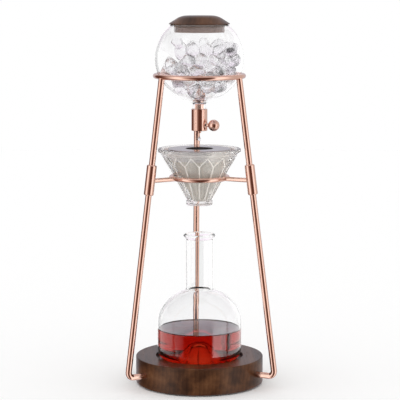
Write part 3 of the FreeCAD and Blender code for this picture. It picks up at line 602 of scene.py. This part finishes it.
WIRE_PITCH = 0.7 * MM
WIRE_SHADE = (0.70, 0.64, 0.54, 1)
WIRE_LIGHT = (1.0, 0.965, 0.885, 1)
WIRE_STAINED = (0.78, 0.71, 0.58, 1)
woven_steel, f, shader = new_finish("woven_steel", Metallic=0.1, Specular_IOR_Level=0.5)
rows = f.maths("SINE", f.along("Z", f.place()) * (2 * math.pi / WIRE_PITCH))
across = f.noise(0.5 * MM, f.place(), 1.0)
weave = f.between(rows * 0.5 + across * 0.9, 0.0, 1.0)
stain = f.noise(11 * MM, f.place(), 3.0)
cloth = f.mix(weave, WIRE_SHADE, WIRE_LIGHT)
feed(f, shader, Base_Color=f.mix(stain * 0.35, cloth, WIRE_STAINED), Roughness=0.38 + weave * 0.12,
     Normal=f.bump(weave, 0.06 * MM))
dress(woven_steel, "filter_mesh")

# ---------------------------------------------------------------- ground coffee
# A bed of damp ground coffee, loose in the filter, a little hollow in the middle where the drops land.
# A small gap keeps it off the mesh.
FILTER_OFF_BORE = 1.25 * MM
BED_TOP = 290.0 * MM
BED_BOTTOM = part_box("filter_mesh")[0].z + 2 * MM
BED_HOLLOW = 4 * MM
BED_OFF_MESH = 1.0 * MM
BED_GRAIN = 0.22 * MM
SKIRT_GRAIN = 0.3
COFFEE_DARK = (0.010, 0.005, 0.003, 1)
COFFEE_BROWN = (0.045, 0.022, 0.012, 1)


def bed_surface(rng):
    """A turned solid: a sloped side just inside the filter, and a top that sinks to the middle.

    The top's depth at a share s of its radius is the hollow times (1 - s ** 2) ** 1.5. The grain is noise
    on every point's height, weaker on the side.
    """
    around = 128
    side = np.linspace(BED_BOTTOM, BED_TOP, 24)
    reach = bore(side) - FILTER_OFF_BORE - BED_OFF_MESH
    share = np.linspace(1, 0, 46)[1:-1]
    skirt = np.stack([reach, side], -1)
    top = np.stack([reach[-1] * share, BED_TOP - BED_HOLLOW * (1 - share ** 2) ** 1.5], -1)
    rings = np.concatenate([skirt, top])
    grain = rng.normal(0, BED_GRAIN, (len(rings), around))
    grain[:len(side)] *= SKIRT_GRAIN
    tips = [[0, 0, BED_BOTTOM], [0, 0, BED_TOP - BED_HOLLOW]]
    points = np.concatenate([turned(rings[:, :1], rings[:, 1:] + grain, around), tips])
    return points, skin(len(rings), around, upward=True)


grounds, f, shader = new_finish("ground_coffee", Specular_IOR_Level=0.5)
crumb = f.noise(0.9 * MM, f.place(), 3.0, 0.65)
feed(f, shader, Base_Color=f.mix(crumb, COFFEE_DARK, COFFEE_BROWN), Roughness=0.45 + crumb * 0.3,
     Normal=f.bump(crumb, 0.5 * MM))
bed_points, bed_faces = bed_surface(np.random.default_rng(5))
new_piece("coffee_bed", bed_points, bed_faces, "filter", grounds)

# ---------------------------------------------------------------- spreader dish
# A shallow dish of satin stainless steel, spun, with a large hole in its middle. It is turned over, and
# its skirt stands loose on the filter's rim.
DISH_DARK = (0.50, 0.49, 0.50, 1)
DISH_LIGHT = (0.60, 0.59, 0.59, 1)
satin_steel, f, shader = new_finish("satin_steel", Metallic=1.0)
spun = f.rings("Z", 0.45 * MM, f.place(), Distortion=1.5)
blot = f.noise(9 * MM, f.place(), 3.0)
feed(f, shader, Base_Color=f.mix(blot, DISH_DARK, DISH_LIGHT), Roughness=0.11 + spun * 0.05 + blot * 0.06,
     Normal=f.bump(spun, 0.005 * MM))
dress(satin_steel, "spreader_dish")

# ---------------------------------------------------------------- flask
# A round flask with a long neck and a raised middle in its bottom, blown from the same clear glass as the
# globe. It stands loose in the seat of the base.
dress(blown_glass, "flask")

# ---------------------------------------------------------------- brewed coffee in the flask
# A shallow fill of clear red-brown coffee, which goes with the flask. It wets the glass, so it reaches
# just into the wall.
COFFEE_TOP = 71.7 * MM
WETTING = 0.25 * MM
MENISCUS = 1.2 * MM
MENISCUS_RISE = 0.9 * MM
BREW_CLEAR = (1, 1, 1, 1)
BREW_PALE = (0.98, 0.97, 0.96, 1)
BREW_TINT = (0.93, 0.635, 0.50, 1)
BREW_DENSITY = 150.0

# The flask's inside has the sizes of the solid.
FLASK_RADIUS = 54.7 * MM
FLASK_WALL = 2.2 * MM
FLASK_CORNER = 12 * MM
FLASK_FOOT_WIDTH = 21.7 * MM
PUNT_RISE = 22.4 * MM
PUNT_CROWN = 12 * MM


def coffee_surface():
    """The flask's inside turned about Z: level top, upright side, round corner, and the raised middle.

    The raised middle is a round crown on the axis, and a straight flank that leaves the foot at its inner
    edge and meets the crown at a tangent: seen from the crown's centre, the tangent point lies at the angle
    to the edge, plus the angle whose cosine is radius over distance. At the wall the top climbs by the
    meniscus's rise times its share of the width to the power 2.5.
    """
    around = 192
    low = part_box("flask")[0].z
    off_glass = FLASK_WALL - WETTING
    wall = FLASK_RADIUS - off_glass
    corner = FLASK_CORNER - off_glass
    floor = low + off_glass
    edge = FLASK_RADIUS - FLASK_CORNER - FLASK_FOOT_WIDTH
    crown_middle = low + PUNT_RISE - PUNT_CROWN
    drop_to_edge = crown_middle - low
    lean = math.atan2(-drop_to_edge, edge) + math.acos(PUNT_CROWN / math.hypot(edge, drop_to_edge))
    across, up = math.cos(lean), math.sin(lean)
    crown = PUNT_CROWN + off_glass
    flank_top = (crown * across, crown_middle + crown * up)
    flank_foot = (flank_top[0] + (flank_top[1] - floor) * up / across, floor)
    climb = np.linspace(0, 1, 9)[:, None]
    rings = np.concatenate([
        run((1.5 * MM, COFFEE_TOP), (wall - 2 * MENISCUS, COFFEE_TOP), 12),
        np.concatenate([wall - MENISCUS * (1 - climb), COFFEE_TOP + MENISCUS_RISE * climb ** 2.5], 1),
        run((wall, COFFEE_TOP - 0.5 * MM), (wall, floor + corner + 0.5 * MM), 10),
        arc((wall - corner, floor + corner), corner, 0, -90, 16),
        run(flank_foot, flank_top, 14),
        arc((0, crown_middle), crown, math.degrees(lean) + 3, 88, 20)])
    tips = [[0, 0, COFFEE_TOP], [0, 0, crown_middle + crown]]
    return np.concatenate([turned(rings[:, :1], rings[:, 1:], around), tips]), skin(len(rings), around)


brew, f, shader = new_finish("brewed_coffee", Transmission_Weight=1.0, IOR=1.33, Roughness=0.0)
swirl = f.noise(30 * MM, f.place(), 1.0)
feed(f, shader, Base_Color=f.mix(swirl, BREW_CLEAR, BREW_PALE))
absorb = f.node("ShaderNodeVolumeAbsorption", {}, {"Color": BREW_TINT, "Density": BREW_DENSITY})
f.tree.links.new(absorb.socket, f.tree.nodes["Material Output"].inputs["Volume"])
coffee_points, coffee_faces = coffee_surface()
new_piece("brewed_coffee", coffee_points, coffee_faces, "flask", brew)

# ---------------------------------------------------------------- falling drop
# A drop of cold water that has just left the nozzle, on its way to the hole in the dish. It goes with
# the globe and its valve.
DROP_TOP = 323.0 * MM
DROP_BOTTOM = 317.0 * MM
DROP_RADIUS = 2.0 * MM
DROP_TAPER = 0.45
WATER_CLEAR = (1, 1, 1, 1)
WATER_COOL = (0.985, 0.99, 0.995, 1)


def drop_surface():
    """A ball drawn out to the drop's length. Its upper half narrows by the taper times height ** 1.2."""
    ways, faces = ball(32, 24)
    width = DROP_RADIUS * (1 - DROP_TAPER * np.clip(ways[:, 2], 0, 1) ** 1.2)
    height = (DROP_TOP + DROP_BOTTOM) / 2 + ways[:, 2] * (DROP_TOP - DROP_BOTTOM) / 2
    return np.stack([ways[:, 0] * width, ways[:, 1] * width, height], -1), faces


water, f, shader = new_finish("water", Transmission_Weight=1.0, IOR=1.33)
calm = f.noise(8 * MM, f.place(), 1.0)
feed(f, shader, Base_Color=f.mix(calm, WATER_CLEAR, WATER_COOL), Normal=f.bump(calm, 0.1 * MM))
drop_points, drop_faces = drop_surface()
new_piece("water_drop", drop_points, drop_faces, "globe", water)

# ---------------------------------------------------------------- camera
# It stands 2.1 m away, a little to the left of the front, and looks slightly down. The tower's axis is
# a little left of the picture's middle.
FOCAL_LENGTH = 148.18
SENSOR = 36.0
FRAME_WIDTH = 400
MIDDLE_PIXEL = 200.0
AXIS_PIXEL = 199.4
PITCH_DOWN = 7.628
SWING = -2.8
CAMERA_PLACE = (-0.1032, -2.1103, 0.5233)
lens = bpy.data.cameras.new("camera")
lens.lens = FOCAL_LENGTH
lens.sensor_width = SENSOR
lens.clip_end = 100
off_axis = math.atan((MIDDLE_PIXEL - AXIS_PIXEL) * SENSOR / FRAME_WIDTH / FOCAL_LENGTH)
camera = bpy.data.objects.new("camera", lens)
camera.location = CAMERA_PLACE
camera.rotation_euler = (math.radians(90 - PITCH_DOWN), 0, math.radians(SWING) - off_axis)
bpy.context.scene.collection.objects.link(camera)
bpy.context.scene.camera = camera

# ---------------------------------------------------------------- table
# A wide round table top, plain white and matt, that the tower stands on. Mirror rays pass through it, and
# so do rays mirrored inside the glass where they reach its front part, so that both see the studio.
TABLE_RADIUS = 3.0
TABLE_CORNERS = 96
TABLE_FRONT = -0.13
WHITE = (1, 1, 1, 1)


def ray(finish, output):
    """What the Light Path node says of a ray: 1 or 0 for its kind, or how often it has bounced."""
    return finish.node("ShaderNodeLightPath", {}, {}, output)


def has_bounced(finish, output):
    """1 where a ray has bounced in the named way at least once, else 0."""
    return finish.maths("GREATER_THAN", ray(finish, output), 0.5)


table_mesh = bpy.data.meshes.new("table")
table_mesh.from_pydata(turned(TABLE_RADIUS, 0, TABLE_CORNERS).tolist(), [], [list(range(TABLE_CORNERS))])
table = bpy.data.objects.new("table", table_mesh)
bpy.context.scene.collection.objects.link(table)
white, f, shader = new_finish("white_table", Base_Color=WHITE, Roughness=1.0, Specular_IOR_Level=0.0)
clear = f.node("ShaderNodeBsdfTransparent", {}, {})
passing = ray(f, "Is Transmission Ray")
in_front = f.maths("LESS_THAN", f.along("Y", f.place()), TABLE_FRONT)
inside = passing * has_bounced(f, "Glossy Depth") * in_front
outside = ray(f, "Is Glossy Ray") * (1 - passing)
hidden = (1 - has_bounced(f, "Diffuse Depth")) * f.maths("MAXIMUM", outside, inside)
shown = f.node("ShaderNodeMixShader", {}, {0: hidden, 1: Value(f, shader.outputs[0]), 2: clear})
f.tree.links.new(shown.socket, f.tree.nodes["Material Output"].inputs["Surface"])
table_mesh.materials.append(white)

# ---------------------------------------------------------------- studio light
# An even white sky lights the tower. Polished metal and glass see what stands in a studio: darkness by
# the camera, two tall soft boxes with a bar across each, and white behind the tower.
FULL_TURN = 2 * math.pi
SHADE = (0.10, 0.04, 0.025)
DUSK = (0.28, 0.17, 0.14)
GLOW = (0.6, 0.5, 0.46)
PALE = (0.75, 0.70, 0.68)
BOX = (1.25, 1.22, 1.20)
FILL = (0.62, 0.57, 0.55)
COOL = (0.60, 0.58, 0.63)
ABOVE_BOXES = (0.60, 0.55, 0.55, 1)
HIGH_WHITE = (0.98, 0.89, 0.975, 1)

# Where each band of the sky gives way to the one above, as the sine of the angle above the horizon.
TABLE_LEVEL = (-0.09, -0.06)
HIGH_LEVEL = (0.08, 0.14)
WINDOW_TOPS = (0.25, 0.42)
BOX_TOPS = (0.35, 0.75)

# Where the sky counts as behind the tower, as a share of a turn from the front.
REAR = (0.30, 0.36)

world = bpy.data.worlds.new("studio")
bpy.context.scene.world = world
world.use_nodes = True
f = Finish(world.node_tree)
sky = f.node("ShaderNodeTexCoord", {}, {}, "Generated")
east, north, height = (f.along(axis, sky) for axis in "XYZ")
bearing = f.maths("ARCTAN2", east, 0 - north) / FULL_TURN + (0.5 - math.radians(SWING) / FULL_TURN)


def round_sky(levels):
    """A ramp round the sky, from pairs of an angle from the front, in degrees to the right, and a level."""
    return f.ramp(bearing, [((angle + 180) / 360, level) for angle, level in levels])


# What satin metal sees: warm boxes left and right, shade before it, and a cool fill behind.
satin_view = round_sky([
    (-180, COOL), (-150, COOL), (-138, SHADE), (-112, SHADE), (-96, DUSK), (-80, PALE), (-66, BOX),
    (-50, BOX), (-36, GLOW), (-22, DUSK), (-8, SHADE), (26, SHADE), (37, DUSK), (44, BOX), (66, BOX),
    (84, PALE), (96, FILL), (140, FILL), (160, COOL), (180, COOL)])
satin_view = f.mix(f.between(height, *BOX_TOPS), satin_view, ABOVE_BOXES)

# What polished metal and glass see in their surfaces: the same boxes with sharp edges and bars.
mirror_view = round_sky([
    (-180, 1.15), (-160, 1.15), (-156, 0.08), (-138, 0.08), (-135, 1.3), (-82, 0.8), (-80, 0.1),
    (-75, 0.1), (-73, 0.55), (-47, 0.22), (-44, 0.01), (36, 0.01), (40, 1.8), (82, 1.9), (83.5, 0.1),
    (87, 0.1), (88.5, 1.8), (156, 1.6), (160, 0.12), (163, 1.15), (180, 1.15)])
ceiling = round_sky([
    (-180, 0.5), (-150, 0.2), (-110, 0.2), (-60, 0.6), (0, 0.8), (60, 1.0), (180, 0.9)])
behind = f.between(f.maths("ABSOLUTE", bearing - 0.5), *REAR)
low_view = f.mix(behind, mirror_view, WHITE)
mirror_view = f.mix(f.between(height, *WINDOW_TOPS), mirror_view, ceiling)

# What is seen through glass: white, and the studio where the ray was mirrored inside the glass.
glass_view = round_sky([
    (-180, 1.0), (-60, 1.0), (-45, 0.85), (-30, 0.5), (30, 0.5), (45, 0.85), (60, 1.0), (180, 1.0)])
glass_view = f.mix(f.between(height, *TABLE_LEVEL), low_view, glass_view)
glass_view = f.mix(has_bounced(f, "Glossy Depth"), WHITE, glass_view)
glass_view = f.mix(f.between(height, *HIGH_LEVEL), glass_view, HIGH_WHITE)

# Each kind of ray gets its view. The camera, and what lights a matt surface, get plain white.
glossy_view = f.mix(ray(f, "Is Singular Ray"), satin_view, mirror_view)
light = f.mix(ray(f, "Is Glossy Ray"), WHITE, glossy_view)
light = f.mix(ray(f, "Is Transmission Ray"), light, glass_view)
plain = f.maths("MAXIMUM", ray(f, "Is Camera Ray"), has_bounced(f, "Diffuse Depth"))
light = f.mix(plain, light, WHITE)
background = f.tree.nodes["Background"].inputs
f.tree.links.new(light.socket, background["Color"])
background["Strength"].default_value = 1
bpy.context.scene.view_settings.view_transform = "Standard"
